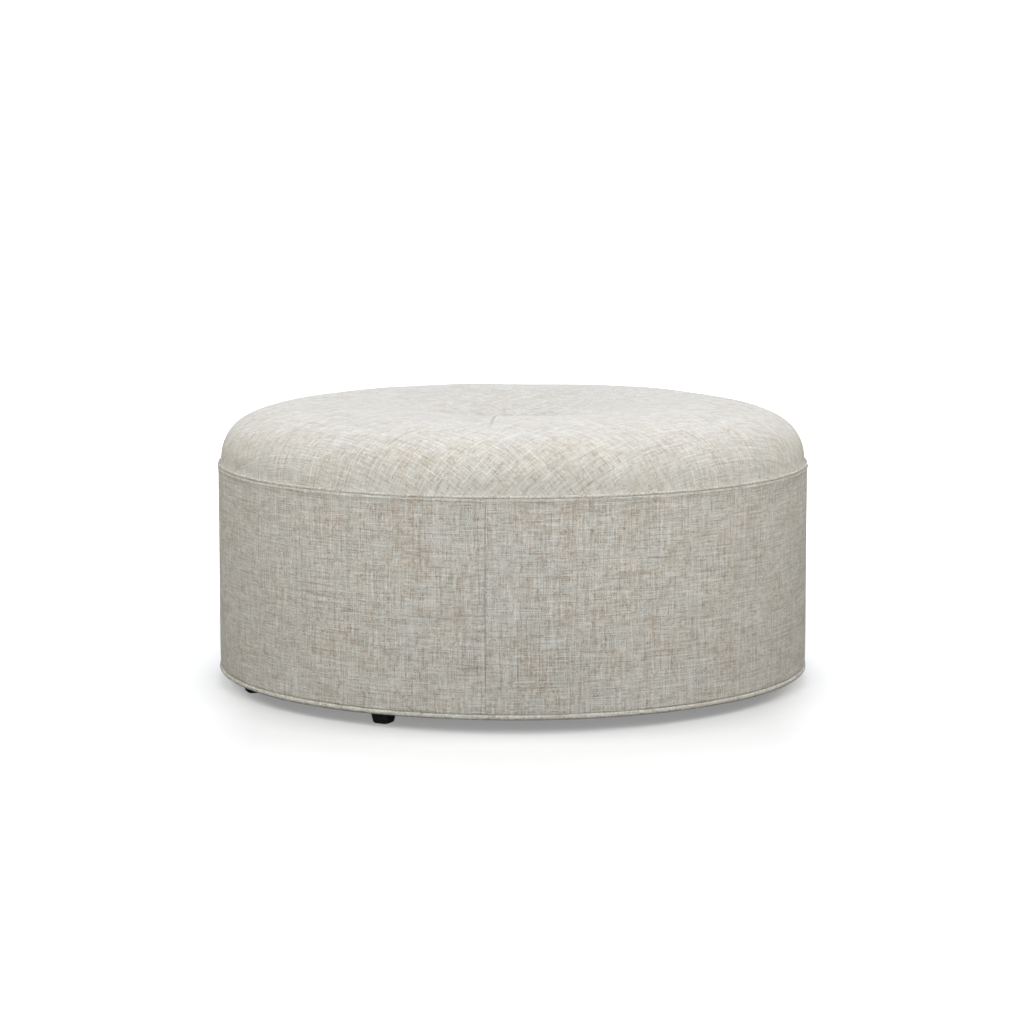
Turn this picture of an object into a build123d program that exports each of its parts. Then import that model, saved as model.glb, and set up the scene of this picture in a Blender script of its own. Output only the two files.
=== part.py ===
"""A round drum ottoman with a domed, tufted top, in millimetres.

The origin is the centre of the footprint on the floor, with +Z up and the front
towards -Y. A bearing is an angle about +Z from the front, growing towards +X.
Heights are kept as z values, and radii are measured from the drum's axis.
"""

from build123d import *
from math import atan, cos, degrees, pi, radians, sin, tan
import os

# Overall sizes of the drum
band_radius = 457.0
welt_spacing = 316.0
foot_height = 26.2

# Cloth, and the room left between soft pieces
fabric = 1.2
dust_cloth = 0.6
ease = 0.3

# Welts, the cloth-covered cords at the band's two edges
top_welt_radius = 2.5
top_welt_stand_out = 0.8
bottom_welt_radius = 3.0
bottom_welt_stand_out = 1.5
welt_sides = 6
seam_allowance = 15.0
turn_under = 40.0

# Side wall of the drum, from the cloth inwards
side_padding_thickness = 9.5
side_board_thickness = 3.0
board_joint_gap = 0.6
board_fit = 0.2

# Plywood frame
ply = 15.0
deck_drop = 12.0
rib_count = 8
rib_depth = 90.0
tab_width = 50.0
slot_clearance = 0.2

# Bearings of the frame's long axis and of the seam that shows at the front
frame_bearing = -48.3
seam_bearing = -4.9

# Crown: the outline of the domed top as a chain of tangent arcs
crown_step = 4.5
crown_wall = 9.0
shoulder_radius = 65.0
shoulder_angle = 57.0
haunch_radius = 117.0
haunch_angle = 78.3
top_radius = 560.0
hollow_radius = 800.0
hollow_slope_angle = 9.0
pit_radius = 45.0
pit_slope_angle = 40.0
upright_angle = 90.0

# How many flat bevels stand for each of those arcs
bevel_count = (3, 1, 2, 1, 1)

# Fibre wrap that backs the crown's cloth
wrap_thickness = 12.0

# Tuft in the middle of the crown
button_radius = 15.0
button_rim = 3.0
button_rise = 4.0
button_sides = 24
pit_margin = 1.0
twine_radius = 1.2
twine_sides = 6
twine_hole = 2.0
anchor_width = 32.0
anchor_thickness = 3.0
knot_radius = 4.0
knot_height = 5.0

# Feet, tapered blocks screwed up into the base
foot_top = 36.0
foot_bottom = 25.0
foot_corner = 8.0
foot_edge = 3.0
outer_foot_inset = 37.5
inner_foot_inset = 157.0
foot_spread_angle = 21.7

# Band cloth
panel_count = 3
panel_gap = 0.3

# Heights, from the floor up
welt_flat = cos(pi / welt_sides)
turn_low = foot_height + dust_cloth
base_low = turn_low + fabric
base_high = base_low + ply
bottom_welt_z = turn_low - bottom_welt_radius * welt_flat
top_welt_z = bottom_welt_z + welt_spacing
deck_high = top_welt_z - deck_drop
deck_low = deck_high - ply
band_high = top_welt_z - top_welt_radius * welt_flat - ease
allowance_low = band_high - seam_allowance
crown_foot = top_welt_z + crown_wall
padding_low = base_low + ease

# Radii, from the cloth inwards
wall_inside = band_radius - fabric
padding_outside = wall_inside - ease
padding_inside = padding_outside - side_padding_thickness
board_outside = padding_inside - ease
board_inside = board_outside - side_board_thickness
frame_radius = board_inside - board_fit
top_welt_circle = band_radius + top_welt_stand_out - top_welt_radius
bottom_welt_circle = band_radius + bottom_welt_stand_out - bottom_welt_radius
crown_radius = band_radius - crown_step
turn_inside = band_radius - turn_under
outer_foot_circle = band_radius - outer_foot_inset
inner_foot_circle = band_radius - inner_foot_inset


def direction(turn):
    """A unit vector in the section plane, at an angle from level."""
    return Vector(cos(radians(turn)), sin(radians(turn)))


def section_plane(bearing):
    """The upright plane through the axis at a bearing, with x outwards and y up."""
    turn = radians(bearing)
    return Plane(
        origin=(0, 0, 0),
        x_dir=(sin(turn), -cos(turn), 0),
        z_dir=(-cos(turn), -sin(turn), 0),
    )


def polar_angle(bearing):
    """A bearing as an angle from +X."""
    return bearing - 90


def save(builder, name):
    """Labels a finished piece and writes it to its own file."""
    builder.part.label = name
    export_step(builder.part, f"parts/{name}.step")


# Centres of the crown's arcs, each tangent to the next
hollow_angle = upright_angle + hollow_slope_angle
pit_angle = upright_angle + pit_slope_angle
pit_floor_radius = button_radius + pit_margin
shoulder_centre = Vector(crown_radius - shoulder_radius, crown_foot)
haunch_centre = shoulder_centre + direction(shoulder_angle) * (shoulder_radius - haunch_radius)
top_centre = haunch_centre + direction(haunch_angle) * (haunch_radius - top_radius)
hollow_centre = top_centre + direction(upright_angle) * (top_radius - hollow_radius)
hollow_end = hollow_centre + direction(hollow_angle) * hollow_radius
pit_centre_x = pit_floor_radius + pit_radius * sin(radians(pit_slope_angle))
pit_start_x = pit_centre_x - pit_radius * sin(radians(hollow_slope_angle))
pit_start_z = hollow_end.Y - (hollow_end.X - pit_start_x) * tan(radians(hollow_slope_angle))
pit_centre = Vector(pit_centre_x, pit_start_z - pit_radius * cos(radians(hollow_slope_angle)))
pit_floor_z = pit_centre.Y + pit_radius * cos(radians(pit_slope_angle))


# The crown's arcs, from the side to the tuft: centre, radius and the turns it runs between
crown_arcs = (
    (shoulder_centre, shoulder_radius, 0, shoulder_angle),
    (haunch_centre, haunch_radius, shoulder_angle, haunch_angle),
    (top_centre, top_radius, haunch_angle, upright_angle),
    (hollow_centre, hollow_radius, upright_angle, hollow_angle),
    (pit_centre, pit_radius, hollow_angle, pit_angle),
)


def crown_face():
    """The points of the crown's outer face, from the allowance's foot to the twine hole."""
    points = [Vector(crown_radius, allowance_low)]
    for (centre, radius, start, end), count in zip(crown_arcs, bevel_count):
        for step in range(count + 1):
            point = centre + direction(start + (end - start) * step / count) * radius
            if (point - points[-1]).length > ease:
                points.append(point)
    return points + [Vector(twine_hole, pit_floor_z)]


def crown_back(room, low):
    """The points of the face under the wrap, set in by some room, from a foot to the twine hole."""
    depth = wrap_thickness + room
    floor = pit_centre + direction(pit_angle) * (pit_radius - depth)
    return [
        Vector(crown_radius - fabric - room, low),
        Vector(crown_radius - fabric - room, crown_foot),
        shoulder_centre + direction(shoulder_angle) * (shoulder_radius - depth),
        top_centre + direction(upright_angle) * (top_radius - depth),
        floor,
        Vector(twine_hole, floor.Y),
    ]


os.makedirs("parts", exist_ok=True)

# Crown cover: one round of cloth backed with fibre wrap, its edge turned down into the seam
with BuildPart() as crown_cover:
    with BuildSketch(Plane.XZ):
        with BuildLine():
            Polyline(*crown_face(), *reversed(crown_back(0, allowance_low)), close=True)
        make_face()
    revolve(axis=Axis.Z)
save(crown_cover, "crown_cover")

# Crown foam: the soft shaped block that gives the top its dome and its hollow
with BuildPart() as crown_foam:
    with BuildSketch(Plane.XZ):
        with BuildLine():
            Polyline(*crown_back(ease, deck_high), (twine_hole, deck_high), close=True)
        make_face()
    revolve(axis=Axis.Z)
save(crown_foam, "crown_foam")

# Deck panel: the plywood disc under the seat, slotted for the ribs
rib_circle = frame_radius - rib_depth / 2
with BuildPart() as deck_panel:
    with BuildSketch(Plane.XY.offset(deck_low)):
        Circle(frame_radius)
        Circle(twine_hole, mode=Mode.SUBTRACT)
        with PolarLocations(rib_circle, rib_count, polar_angle(frame_bearing)):
            Rectangle(tab_width + 2 * slot_clearance, ply + 2 * slot_clearance, mode=Mode.SUBTRACT)
    extrude(amount=ply)
save(deck_panel, "deck_panel")

# Feet: where each stands. The outer ones are screwed on over the rim's layers of cloth.
# The middle ones sit on the bare wood, higher by those layers, and only steady the drum
rim_layers = base_low - foot_height
opposite = 180
feet = {
    "foot_left_front": (frame_bearing + foot_spread_angle, outer_foot_circle, 0),
    "foot_left_rear": (frame_bearing - foot_spread_angle, outer_foot_circle, 0),
    "foot_right_rear": (frame_bearing + opposite + foot_spread_angle, outer_foot_circle, 0),
    "foot_rear": (frame_bearing + opposite - foot_spread_angle, outer_foot_circle, 0),
    "foot_middle_right": (frame_bearing + upright_angle, inner_foot_circle, rim_layers),
    "foot_middle_left": (frame_bearing - upright_angle, inner_foot_circle, rim_layers),
}
foot_taper = degrees(atan((foot_top - foot_bottom) / 2 / foot_height))


def foot_plane(bearing, circle, height):
    """A level plane over a foot's centre, with x pointing out from the drum's axis."""
    outwards = section_plane(bearing).x_dir
    return Plane(origin=outwards * circle + Vector(0, 0, height), x_dir=outwards, z_dir=(0, 0, 1))


# Base panel: the plywood disc at the bottom, slotted for the ribs, that carries the feet
with BuildPart() as base_panel:
    with BuildSketch(Plane.XY.offset(base_low)):
        Circle(frame_radius)
        with PolarLocations(rib_circle, rib_count, polar_angle(frame_bearing)):
            Rectangle(tab_width + 2 * slot_clearance, ply + 2 * slot_clearance, mode=Mode.SUBTRACT)
    extrude(amount=ply)
save(base_panel, "base_panel")

# Frame ribs: upright plywood plates, their tabs glued through the deck and the base
for number in range(rib_count):
    rib_bearing = frame_bearing + number * 360 / rib_count
    with BuildPart() as rib:
        with BuildSketch(section_plane(rib_bearing)):
            with Locations((rib_circle, (base_high + deck_low) / 2)):
                Rectangle(rib_depth, deck_low - base_high)
                Rectangle(tab_width, deck_high - base_low)
        extrude(amount=ply / 2, both=True)
    save(rib, f"frame_rib_{number + 1}")

# Side boards: two bent boards that close the drum, butted on opposite ribs
board_gap_turn = degrees(board_joint_gap / board_inside)
board_turn = 180 - board_gap_turn
for name, start in (
    ("side_board_left", frame_bearing - upright_angle),
    ("side_board_right", frame_bearing + upright_angle),
):
    with BuildPart() as side_board:
        with BuildSketch(section_plane(start + board_gap_turn / 2)):
            with Locations((board_inside, base_low)):
                Rectangle(side_board_thickness, deck_high - base_low, align=(Align.MIN, Align.MIN))
        revolve(axis=Axis.Z, revolution_arc=board_turn)
    save(side_board, name)

# Side padding: the foam wrapped round the boards, under the band
with BuildPart() as side_padding:
    with BuildSketch(Plane.XZ):
        with Locations((padding_inside, padding_low)):
            Rectangle(
                side_padding_thickness,
                allowance_low - ease - padding_low,
                align=(Align.MIN, Align.MIN),
            )
    revolve(axis=Axis.Z)
save(side_padding, "side_padding")

# Band panels: the cloth of the side, its lower edge turned under the base
panel_gap_turn = degrees(panel_gap / band_radius)
panel_turn = 360 / panel_count - panel_gap_turn
for number, name in enumerate(("band_panel_right", "band_panel_rear", "band_panel_left")):
    start = seam_bearing + number * 360 / panel_count + panel_gap_turn / 2
    with BuildPart() as band_panel:
        with BuildSketch(section_plane(start)):
            with BuildLine():
                Polyline(
                    (band_radius, band_high),
                    (band_radius, turn_low),
                    (turn_inside, turn_low),
                    (turn_inside, base_low),
                    (wall_inside, base_low),
                    (wall_inside, band_high),
                    close=True,
                )
            make_face()
        revolve(axis=Axis.Z, revolution_arc=panel_turn)
    save(band_panel, name)


def welt_section(circle, height, radius):
    """Draws a welt's six-sided section, flat at the top."""
    with Locations((circle, height)):
        RegularPolygon(radius, welt_sides)


# Top welt: a bias strip sewn round a cord, in the seam between crown and band
with BuildPart() as top_welt:
    with BuildSketch(Plane.XZ):
        welt_section(top_welt_circle, top_welt_z, top_welt_radius)
    revolve(axis=Axis.Z)
save(top_welt, "top_welt")

# Bottom welt: the thicker cord round the base, stapled under the turned cloth
with BuildPart() as bottom_welt:
    with BuildSketch(Plane.XZ):
        welt_section(bottom_welt_circle, bottom_welt_z, bottom_welt_radius)
    revolve(axis=Axis.Z)
save(bottom_welt, "bottom_welt")

# Dust cover: black cloth stapled across the base, cut out round the two middle feet
with BuildPart() as dust_cover:
    with BuildSketch(Plane.XY.offset(foot_height)):
        Circle(frame_radius)
        with PolarLocations(inner_foot_circle, 2, polar_angle(frame_bearing + upright_angle)):
            Rectangle(foot_top + 2 * ease, foot_top + 2 * ease, mode=Mode.SUBTRACT)
    extrude(amount=dust_cloth)
save(dust_cover, "dust_cover")

# Feet: black moulded blocks, square to the rim, tapered, with their corners and sole bevelled
for name, (bearing, circle, lift) in feet.items():
    with BuildPart() as foot:
        with BuildSketch(foot_plane(bearing, circle, lift + foot_height)) as head:
            Rectangle(foot_top, foot_top)
            chamfer(head.vertices(), foot_corner)
        extrude(amount=-foot_height)
        sides = foot.faces().filter_by(Axis.Z, reverse=True)
        draft(sides, foot_plane(bearing, circle, lift + foot_height), -foot_taper)
        chamfer(foot.faces().sort_by(Axis.Z)[0].edges(), foot_edge)
    save(foot, name)

# Tuft button: a cloth-covered button pulled down into the middle of the crown
with BuildPart() as tuft_button:
    with BuildSketch(Plane.XY.offset(pit_floor_z)):
        RegularPolygon(button_radius, button_sides)
    extrude(amount=button_rim + button_rise)
    chamfer(tuft_button.faces().sort_by(Axis.Z)[-1].edges(), button_rise)
save(tuft_button, "tuft_button")

# Tuft anchor: the square of board under the deck that the twine pulls on
with BuildPart() as tuft_anchor:
    with BuildSketch(Plane.XY.offset(deck_low)):
        Rectangle(anchor_width, anchor_width)
        Circle(twine_hole, mode=Mode.SUBTRACT)
    extrude(amount=-anchor_thickness)
save(tuft_anchor, "tuft_anchor")

# Tuft twine: from the button down through foam and deck, knotted under the anchor
anchor_low = deck_low - anchor_thickness
with BuildPart() as tuft_twine:
    with BuildSketch(Plane.XY.offset(anchor_low)):
        RegularPolygon(twine_radius, twine_sides)
    extrude(amount=pit_floor_z - anchor_low)
    with BuildSketch(Plane.XY.offset(anchor_low)):
        RegularPolygon(knot_radius, twine_sides)
    extrude(amount=-knot_height)
save(tuft_twine, "tuft_twine")
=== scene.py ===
"""A round drum ottoman in oatmeal weave, its domed top tufted with one button, in a white studio.

Lengths are in metres. A bearing is an angle about +Z from the front (-Y), growing towards +X.
"""

import bpy
import numpy as np
from math import cos, hypot, pi, radians, sin, sqrt, tan
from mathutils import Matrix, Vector
from mathutils.geometry import delaunay_2d_cdt
from mathutils.kdtree import KDTree


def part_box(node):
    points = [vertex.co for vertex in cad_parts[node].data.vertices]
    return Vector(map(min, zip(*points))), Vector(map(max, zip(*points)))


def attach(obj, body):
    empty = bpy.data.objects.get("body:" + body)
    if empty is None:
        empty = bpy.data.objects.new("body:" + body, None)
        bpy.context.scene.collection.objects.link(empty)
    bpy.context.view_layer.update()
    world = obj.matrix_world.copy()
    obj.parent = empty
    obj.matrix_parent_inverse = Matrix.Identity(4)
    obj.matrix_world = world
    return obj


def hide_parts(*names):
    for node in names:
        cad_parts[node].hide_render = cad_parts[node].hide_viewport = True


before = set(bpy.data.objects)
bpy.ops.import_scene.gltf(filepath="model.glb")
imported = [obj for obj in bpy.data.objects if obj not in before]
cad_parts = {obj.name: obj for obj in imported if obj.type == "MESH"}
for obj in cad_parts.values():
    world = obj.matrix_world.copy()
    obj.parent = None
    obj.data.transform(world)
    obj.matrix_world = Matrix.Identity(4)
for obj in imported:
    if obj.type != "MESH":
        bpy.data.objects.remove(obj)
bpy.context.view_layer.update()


# Plywood frame: two discs joined by eight upright ribs, cut from birch ply on a router.
# Pale rotary-cut veneer on the faces, with the crossed layers showing at every sawn edge.
class Signal:
    """A socket of a material. Sums and products of signals add Math nodes."""

    def __init__(self, finish, socket):
        self.finish = finish
        self.socket = socket

    def math(self, operation, *values):
        sockets = dict(enumerate(values))
        return self.finish.node("ShaderNodeMath", {"operation": operation}, sockets)

    def __add__(self, other):
        return self.math("ADD", self, other)

    def __radd__(self, other):
        return self.math("ADD", other, self)

    def __sub__(self, other):
        return self.math("SUBTRACT", self, other)

    def __rsub__(self, other):
        return self.math("SUBTRACT", other, self)

    def __mul__(self, other):
        return self.math("MULTIPLY", self, other)

    def __rmul__(self, other):
        return self.math("MULTIPLY", other, self)

    def __truediv__(self, other):
        return self.math("DIVIDE", self, other)

    def __pow__(self, other):
        return self.math("POWER", self, other)

    def __gt__(self, other):
        return self.math("GREATER_THAN", self, other)

    def __lt__(self, other):
        return self.math("LESS_THAN", self, other)

    def floor(self):
        return self.math("FLOOR", self)

    def sine(self):
        return self.math("SINE", self)

    def cosine(self):
        return self.math("COSINE", self)

    def size(self):
        return self.math("ABSOLUTE", self)

    def at_least(self, other):
        return self.math("MAXIMUM", self, other)

    def at_most(self, other):
        return self.math("MINIMUM", self, other)

    def arctan2(self, other):
        """The angle whose tangent is this over the other."""
        return self.math("ARCTAN2", self, other)

    def between(self, low, high):
        """0 below low, 1 above high, and smooth in between."""
        sockets = {"Value": self, "From Min": low, "From Max": high}
        return self.finish.node("ShaderNodeMapRange", {"interpolation_type": "SMOOTHSTEP"}, sockets)


class Nodes:
    """A tree of nodes, all of which come from node()."""

    def __init__(self, tree):
        self.tree = tree
        self.tree.nodes.clear()

    def node(self, kind, settings=None, sockets=None, out=0):
        """Adds a node: its settings first, then its sockets' values or links. Returns one output."""
        made = self.tree.nodes.new(kind)
        for key, value in (settings or {}).items():
            setattr(made, key, value)
        for key, value in (sockets or {}).items():
            if isinstance(value, Signal):
                self.tree.links.new(value.socket, made.inputs[key])
            else:
                made.inputs[key].default_value = value
        return Signal(self, made.outputs[out])

    def axes(self, vector):
        parts = self.node("ShaderNodeSeparateXYZ", None, {0: vector}).socket.node
        return [Signal(self, socket) for socket in parts.outputs]

    def join(self, x, y, z=0.0):
        return self.node("ShaderNodeCombineXYZ", None, {"X": x, "Y": y, "Z": z})

    def vector(self, operation, *values, out=0):
        return self.node("ShaderNodeVectorMath", {"operation": operation}, dict(enumerate(values)), out)


class Finish(Nodes):
    """A material made of nodes."""

    def __init__(self, name):
        self.material = bpy.data.materials.new(name)
        self.material.use_nodes = True
        super().__init__(self.material.node_tree)

    def place(self):
        """The point being shaded, in the object's own metres."""
        return self.node("ShaderNodeTexCoord", out="Object")

    def noise(self, vector, scale, detail=2.0, roughness=0.5):
        sockets = {"Vector": vector, "Scale": scale, "Detail": detail, "Roughness": roughness}
        return self.node("ShaderNodeTexNoise", None, sockets)

    def blend(self, amount, first, second):
        """Two colours mixed. A Mix node's colours are its sockets 6 and 7, and its output 2."""
        sockets = {0: amount}
        for key, colour in ((6, first), (7, second)):
            sockets[key] = colour if isinstance(colour, Signal) else (*colour, 1)
        return self.node("ShaderNodeMix", {"data_type": "RGBA"}, sockets, 2)

    def bump(self, height, depth):
        """A normal tilted by a height from 0 to 1 that stands for a depth in metres."""
        return self.node("ShaderNodeBump", None, {"Height": height, "Distance": depth, "Strength": 1.0})

    def surface(self, **sockets):
        """Closes the material with a Principled shader. Underscores stand for spaces."""
        named = {key.replace("_", " "): value for key, value in sockets.items()}
        colour = named["Base Color"]
        named["Base Color"] = colour if isinstance(colour, Signal) else (*colour, 1)
        shader = self.node("ShaderNodeBsdfPrincipled", None, named)
        end = self.tree.nodes.new("ShaderNodeOutputMaterial")
        self.tree.links.new(shader.socket, end.inputs["Surface"])
        return self.material


def plywood(name, grain):
    """Birch plywood whose face veneer runs along an axis, with layers at the sawn edges."""
    finish = Finish(name)
    place = finish.place()
    stretched = finish.vector("MULTIPLY", place, grain)
    figure = finish.noise(stretched, 14, 4, 0.6)
    pores = finish.noise(stretched, 260, 2, 0.7)
    two_layers = 0.0028
    layers = (finish.axes(place)[2] * (2 * pi / two_layers)).sine() > 0.35
    upright = finish.axes(finish.node("ShaderNodeNewGeometry", out="Normal"))[2]
    edge = 1 - upright.size().between(0.2, 0.8)
    face = finish.blend(figure.between(0.35, 0.7), (0.71, 0.54, 0.35), (0.56, 0.39, 0.22))
    dotted = finish.blend(pores.between(0.58, 0.72) * 0.5, face, (0.33, 0.21, 0.12))
    sawn = finish.blend(layers * edge * 0.7, dotted, (0.30, 0.18, 0.10))
    return finish.surface(
        Base_Color=sawn,
        Roughness=0.55 + figure * 0.2,
        Normal=finish.bump(pores, 0.0002),
    )


def refinished(material, *nodes):
    """Gives CAD nodes that stay as they are a new material."""
    for node in nodes:
        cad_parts[node].data.materials.clear()
        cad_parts[node].data.materials.append(material)


grain_x = (1.0, 9.0, 9.0)
grain_y = (9.0, 1.0, 9.0)
grain_z = (9.0, 9.0, 1.0)
for node, grain in (("deck_panel", grain_y), ("base_panel", grain_x), ("tuft_anchor", grain_y)):
    refinished(plywood(f"birch_ply_{node}", grain), node)
refinished(plywood("birch_ply_ribs", grain_z), *[f"frame_rib_{number + 1}" for number in range(8)])


# Side boards: two sheets of bending board that close the drum, stapled to the ribs.
# Grey-brown pressed fibre with a faint upright corrugation where it is scored to bend.
board = Finish("bending_board")
board_x, board_y, _ = board.axes(board.place())
score = (board_x.arctan2(board_y) * 300).sine()
fibre = board.noise(board.place(), 420, 3, 0.7)
board.surface(
    Base_Color=board.blend(fibre.between(0.3, 0.7), (0.34, 0.25, 0.17), (0.45, 0.34, 0.24)),
    Roughness=0.8 + fibre * 0.15,
    Normal=board.bump(score * 0.6 + fibre, 0.0004),
)
refinished(board.material, "side_board_left", "side_board_right")


# Side padding: a strip of foam glued round the boards, rounded at its top edge by the cloth.
# Open-celled cream foam, cut on a band knife, so its faces are flat and its cells show.
def turned(name, loops, bearings, lay=None, ends=False):
    """A closed skin turned about the axis, from loops of (radius, height) points.

    There is one loop, or one for each bearing. lay gives the flat cloth's (across, along) from the
    bearing and the distance run along the loop. With ends, the skin is closed at the first and the
    last bearing. Otherwise it goes all the way round.
    """
    bearings = np.asarray(bearings)
    loops = np.asarray(loops)
    if loops.ndim == 2:
        loops = np.repeat(loops[None], len(bearings), 0)
    turns, count = loops.shape[:2]
    around = bearings[:, None]
    points = np.stack([loops[..., 0] * np.sin(around), -loops[..., 0] * np.cos(around), loops[..., 1]], -1)
    left, low = np.meshgrid(np.arange(turns - 1 if ends else turns), np.arange(count), indexing="ij")
    corners = [(left, low), (left + 1, low), (left + 1, low + 1), (left, low + 1)]
    shape = loops.mean(0)
    ahead = np.roll(shape, -1, 0)
    inward = (shape[:, 0] * ahead[:, 1] - ahead[:, 0] * shape[:, 1]).sum() < 0
    if inward:
        corners.reverse()
    faces = np.stack([(turn % turns) * count + point % count for turn, point in corners], -1)
    faces = faces.reshape(-1, 4).tolist()
    if ends:
        for cap in (list(range(count)), [(turns - 1) * count + point for point in range(count)][::-1]):
            faces.append(cap[::-1] if inward else cap)
    mesh = bpy.data.meshes.new(name)
    mesh.from_pydata(points.reshape(-1, 3).tolist(), [], faces)
    if lay:
        bearing = np.append(bearings, bearings[0] + 2 * pi)
        run = np.append(0, np.cumsum(np.linalg.norm(ahead - shape, axis=1)))
        flat = np.stack([np.stack(lay(bearing[turn], run[point]), -1) for turn, point in corners], -2)
        values = np.zeros(len(mesh.loops) * 2)
        values[: flat.size] = flat.ravel()
        mesh.uv_layers.new(name="cloth").data.foreach_set("uv", values)
    mesh.shade_smooth()
    piece = bpy.data.objects.new(name, mesh)
    bpy.context.scene.collection.objects.link(piece)
    return piece


def finished(piece, material, *nodes, slot=None):
    """Gives a piece its material, its place on the body and the CAD nodes that it stands for."""
    piece.data.materials.clear()
    piece.data.materials.append(material)
    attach(piece, "root")
    if nodes:
        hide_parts(*nodes)
    return piece


def foam(name, colour, depth):
    """Open-celled foam: pale, dull, and pitted with cells, with painted shade in the pits."""
    finish = Finish(name)
    cells = finish.node("ShaderNodeTexVoronoi", None, {"Vector": finish.place(), "Scale": 700.0})
    cloud = finish.noise(finish.place(), 12, 3, 0.6)
    # Painted shade: the colour darkens into each cell's pit, where the bump sinks. It also varies in soft
    # random clouds.
    darker = tuple(0.62 * value for value in colour)
    return finish.surface(
        Base_Color=finish.blend(cells.between(0.05, 0.6) * 0.8 + cloud * 0.3, darker, colour),
        Roughness=0.93,
        Normal=finish.bump(cells, depth),
    )


def swell(distance, width, size=1.0):
    """A rounded bump of a size at no distance, which dies away beyond a width."""
    return size * np.exp(-((distance / width) ** 2))


full_turn = np.linspace(0, 2 * pi, 361)[:-1]
seam_bearings = np.radians(-4.9 + 120 * np.arange(3))
low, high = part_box("side_padding")
padding_thickness = 0.0095
padding_out = high.x
padding_in = padding_out - padding_thickness
rounding = 0.004
padding_section = [(padding_in, low.z), (padding_out, low.z)]
padding_section += [
    (padding_out - rounding + rounding * sin(turn), high.z - rounding + rounding * cos(turn))
    for turn in np.linspace(pi / 2, 0, 5)
]
padding_section = np.array(padding_section + [(padding_in, high.z)])
beside_seams = np.array([k * 0.0015 for k in range(-9, 10)]) / padding_out
padding_turns = [full_turn] + [(bearing + beside_seams) % (2 * pi) for bearing in seam_bearings]
padding_turns = np.sort(np.concatenate(padding_turns))
padding_loops = np.repeat(padding_section[None], len(padding_turns), 0)
off_seam = ((padding_turns[:, None] - seam_bearings + pi) % (2 * pi) - pi) * padding_out
groove_depth = 0.0048
groove_width = 0.006
padding_loops[:, 1:-1, 0] -= groove_depth * swell(off_seam, groove_width).sum(1)[:, None]
side_padding = finished(
    turned("side_foam", padding_loops, padding_turns),
    foam("cream_foam", (0.80, 0.72, 0.55), depth=0.0006),
    "side_padding",
    slot="foam",
)


# Crown foam: a round block of firmer foam, glued on the deck and shaved to a dome.
# Its middle is cut hollow, so that the tuft has somewhere to sit.
seam_height = 0.3402
crown_radius = 0.4525
crown_foot = seam_height + 0.009
# An arc is its radius and the turns that it runs between, in degrees up from level.
crown_arcs = ((0.065, 0, 57), (0.117, 57, 78.3), (0.560, 78.3, 90), (0.800, 90, 99))
pit_arc = (0.045, 99, 130)


def crown_profile(inset, step):
    """Points down the crown's outline from the pit to the seam, some way under its face."""

    def way(turn):
        return np.array([cos(radians(turn)), sin(radians(turn))])

    arcs = []
    last, slope_turn = crown_arcs[0][0], crown_arcs[-1][2]
    centre = np.array([crown_radius - last, crown_foot])
    for radius, start, end in crown_arcs:
        centre = centre + way(start) * (last - radius)
        last = radius
        arcs.append((centre, radius, start, end))
    hollow_end = centre + way(slope_turn) * last
    radius, start, end = pit_arc
    slope = radians(start - 90)
    pit_floor_radius = 0.016
    pit_centre = pit_floor_radius + radius * sin(radians(end - 90))
    pit_start = pit_centre - radius * sin(slope)
    pit_top = hollow_end[1] - (hollow_end[0] - pit_start) * tan(slope)
    arcs.append((np.array([pit_centre, pit_top - radius * cos(slope)]), radius, start, end))
    points = []
    for centre, radius, start, end in arcs:
        count = max(3, round(radius * radians(end - start) / step))
        points += [centre + way(turn) * (radius - inset) for turn in np.linspace(start, end, count + 1)]
        if end == slope_turn:
            begin = points[-1]
            finish = np.array([pit_start, pit_top]) - inset * way(end)
            count = round(np.linalg.norm(finish - begin) / step)
            points += [begin + (finish - begin) * k / count for k in range(1, count)]
    kept = [points[0]]
    for point in points[1:]:
        if np.linalg.norm(point - kept[-1]) > step / 3:
            kept.append(point)
    return np.array(kept[::-1])


deck_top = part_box("deck_panel")[1].z
twine_hole = 0.002
wrap_room = 0.0135
foam_face = crown_profile(wrap_room, step=0.008)
foam_rim = crown_radius - 0.0015
foam_section = [(twine_hole, deck_top), (twine_hole, foam_face[0][1])] + [tuple(p) for p in foam_face]
foam_section += [(foam_rim, crown_foot), (foam_rim, deck_top)]
crown_foam = finished(
    turned("crown_block", foam_section, full_turn),
    foam("white_foam", (0.86, 0.82, 0.72), depth=0.0006),
    "crown_foam",
    slot="foam",
)


# Tuft twine: waxed nylon twine from the button to a board washer, where it is knotted.
# Two plies laid right-handed, pulled tight, so that only the twist shows.
twine = Finish("tuft_twine")
twine_x, twine_y, twine_z = twine.axes(twine.place())
lay = (twine_y.arctan2(twine_x) * 2 + twine_z * 2600).sine()
# Painted shade and highlight: the colour darkens in the grooves between the plies and pales on their crowns,
# in step with the bump.
twine.surface(
    Base_Color=twine.blend(lay.between(-1, 1), (0.50, 0.46, 0.38), (0.78, 0.74, 0.64)),
    Roughness=0.5,
    Normal=twine.bump(lay, 0.0003),
)
refinished(twine.material, "tuft_twine")


# Crown: one round of oatmeal weave over fibre wrap, eased over the dome and sewn into the seam.
# The button pulls it down in the middle, and its spare cloth is laid in pleats towards the seam.
thread = 0.0013
bright_yarn = (0.665, 0.655, 0.61)
ground_yarn = (0.456, 0.446, 0.41)
dark_yarn = (0.155, 0.115, 0.07)
tan_yarn = (0.42, 0.31, 0.20)


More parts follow.
